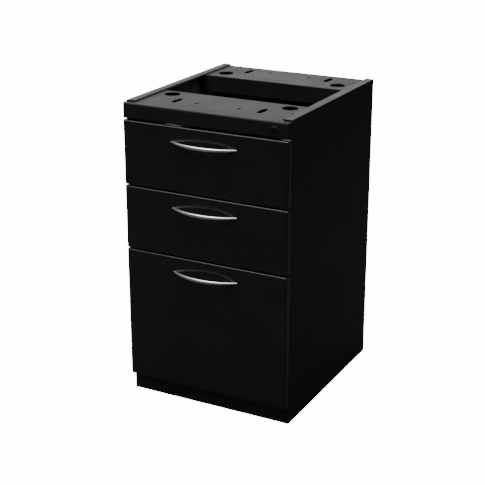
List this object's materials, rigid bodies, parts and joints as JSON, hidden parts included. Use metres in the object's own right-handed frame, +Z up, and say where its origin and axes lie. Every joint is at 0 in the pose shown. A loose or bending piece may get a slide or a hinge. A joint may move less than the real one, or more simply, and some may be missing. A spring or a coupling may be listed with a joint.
{
  "type": "pedestal cabinet",
  "caption": "Desk-height steel pedestal with box drawers over a file drawer, bow pulls, a gang lock and an open perforated top frame.",
  "frame": {"origin": "on the floor, below the middle of the cabinet with its pulls", "axes": "+Z up, drawers opening towards -Y, +X to the right of a person facing the drawers"},
  "size_m": [0.396, 0.481, 0.691],
  "materials": {
    "black_powder_coat": "semi-gloss black powder coat",
    "black_drawer_paint": "satin black paint",
    "satin_nickel": "satin nickel",
    "zinc_steel": "bright zinc plate",
    "black_nylon": "moulded nylon",
    "black_rubber": "moulded rubber",
    "black_chrome": "black plated",
    "nickel_plug": "dark plated"
  },
  "bodies": {
    "case": {"back_panel": "black_powder_coat", "bottom_pan": "black_powder_coat", "file_slide_case_members": "zinc_steel", "glide_nuts": "zinc_steel", "kick_plate": "black_powder_coat", "lock_bar_guides": "zinc_steel", "lock_housing": "black_chrome", "lock_nut": "zinc_steel", "lock_rail": "black_powder_coat", "middle_slide_case_members": "zinc_steel", "rear_stops": "black_rubber", "side_panel_left": "black_powder_coat", "side_panel_right": "black_powder_coat", "top_channel_back": "black_powder_coat", "top_channel_front": "black_powder_coat", "top_slide_case_members": "zinc_steel"},
    "file_drawer": {"file_drawer_body": "black_drawer_paint", "file_drawer_body_back": "black_drawer_paint", "file_drawer_face": "black_powder_coat", "file_drawer_face_liner": "black_drawer_paint", "file_drawer_hanger_rails": "zinc_steel", "file_drawer_lock_catch": "zinc_steel", "file_drawer_pull": "satin_nickel", "file_drawer_pull_screws": "zinc_steel", "file_drawer_slide_members": "zinc_steel"},
    "file_slide_middle_left": {"file_slide_middle_left": "zinc_steel"},
    "file_slide_middle_right": {"file_slide_middle_right": "zinc_steel"},
    "glide_back_left": {"glide_back_left_foot": "black_nylon", "glide_back_left_stud": "zinc_steel"},
    "glide_back_right": {"glide_back_right_foot": "black_nylon", "glide_back_right_stud": "zinc_steel"},
    "glide_front_left": {"glide_front_left_foot": "black_nylon", "glide_front_left_stud": "zinc_steel"},
    "glide_front_right": {"glide_front_right_foot": "black_nylon", "glide_front_right_stud": "zinc_steel"},
    "lock_bar": {"lock_bar": "zinc_steel"},
    "lock_plug": {"lock_cam": "zinc_steel", "lock_plug": "nickel_plug"},
    "middle_drawer": {"middle_drawer_body": "black_drawer_paint", "middle_drawer_body_back": "black_drawer_paint", "middle_drawer_face": "black_powder_coat", "middle_drawer_face_liner": "black_drawer_paint", "middle_drawer_lock_catch": "zinc_steel", "middle_drawer_pull": "satin_nickel", "middle_drawer_pull_screws": "zinc_steel", "middle_drawer_slide_members": "zinc_steel"},
    "middle_slide_middle_left": {"middle_slide_middle_left": "zinc_steel"},
    "middle_slide_middle_right": {"middle_slide_middle_right": "zinc_steel"},
    "top_drawer": {"top_drawer_body": "black_drawer_paint", "top_drawer_body_back": "black_drawer_paint", "top_drawer_face": "black_powder_coat", "top_drawer_face_liner": "black_drawer_paint", "top_drawer_lock_catch": "zinc_steel", "top_drawer_pull": "satin_nickel", "top_drawer_pull_screws": "zinc_steel", "top_drawer_slide_members": "zinc_steel"},
    "top_slide_middle_left": {"top_slide_middle_left": "zinc_steel"},
    "top_slide_middle_right": {"top_slide_middle_right": "zinc_steel"}
  },
  "joints": [
    {"name": "top_drawer_slide", "type": "slide", "parent": "case", "child": "top_drawer", "axis": [0, -1, 0], "range_m": [0, 0.32]},
    {"name": "top_slide_middle_left", "type": "slide", "parent": "case", "child": "top_slide_middle_left", "axis": [0, -1, 0], "range_m": [0, 0.16]},
    {"name": "top_slide_middle_right", "type": "slide", "parent": "case", "child": "top_slide_middle_right", "axis": [0, -1, 0], "range_m": [0, 0.16]},
    {"name": "middle_drawer_slide", "type": "slide", "parent": "case", "child": "middle_drawer", "axis": [0, -1, 0], "range_m": [0, 0.32]},
    {"name": "middle_slide_middle_left", "type": "slide", "parent": "case", "child": "middle_slide_middle_left", "axis": [0, -1, 0], "range_m": [0, 0.16]},
    {"name": "middle_slide_middle_right", "type": "slide", "parent": "case", "child": "middle_slide_middle_right", "axis": [0, -1, 0], "range_m": [0, 0.16]},
    {"name": "file_drawer_slide", "type": "slide", "parent": "case", "child": "file_drawer", "axis": [0, -1, 0], "range_m": [0, 0.36]},
    {"name": "file_slide_middle_left", "type": "slide", "parent": "case", "child": "file_slide_middle_left", "axis": [0, -1, 0], "range_m": [0, 0.18]},
    {"name": "file_slide_middle_right", "type": "slide", "parent": "case", "child": "file_slide_middle_right", "axis": [0, -1, 0], "range_m": [0, 0.18]},
    {"name": "lock_bar_drop", "type": "slide", "parent": "case", "child": "lock_bar", "axis": [0, 0, -1], "range_m": [0, 0.0113]},
    {"name": "lock_turn", "type": "hinge", "parent": "case", "child": "lock_plug", "pos_m": [0.165, -0.2135, 0.668], "axis": [0, 1, 0], "range_deg": [0, 90]},
    {"name": "glide_front_left_height", "type": "slide", "parent": "case", "child": "glide_front_left", "axis": [0, 0, -1], "range_m": [0, 0.012]},
    {"name": "glide_front_right_height", "type": "slide", "parent": "case", "child": "glide_front_right", "axis": [0, 0, -1], "range_m": [0, 0.012]},
    {"name": "glide_back_left_height", "type": "slide", "parent": "case", "child": "glide_back_left", "axis": [0, 0, -1], "range_m": [0, 0.012]},
    {"name": "glide_back_right_height", "type": "slide", "parent": "case", "child": "glide_back_right", "axis": [0, 0, -1], "range_m": [0, 0.012]}
  ],
  "couplings": [
    {"joint": "top_slide_middle_left", "follows": "top_drawer_slide", "ratio": 0.5},
    {"joint": "top_slide_middle_right", "follows": "top_drawer_slide", "ratio": 0.5},
    {"joint": "middle_slide_middle_left", "follows": "middle_drawer_slide", "ratio": 0.5},
    {"joint": "middle_slide_middle_right", "follows": "middle_drawer_slide", "ratio": 0.5},
    {"joint": "file_slide_middle_left", "follows": "file_drawer_slide", "ratio": 0.5},
    {"joint": "file_slide_middle_right", "follows": "file_drawer_slide", "ratio": 0.5},
    {"joint": "lock_turn", "follows": "lock_bar_drop", "rad_per_m": 138.84}
  ]
}
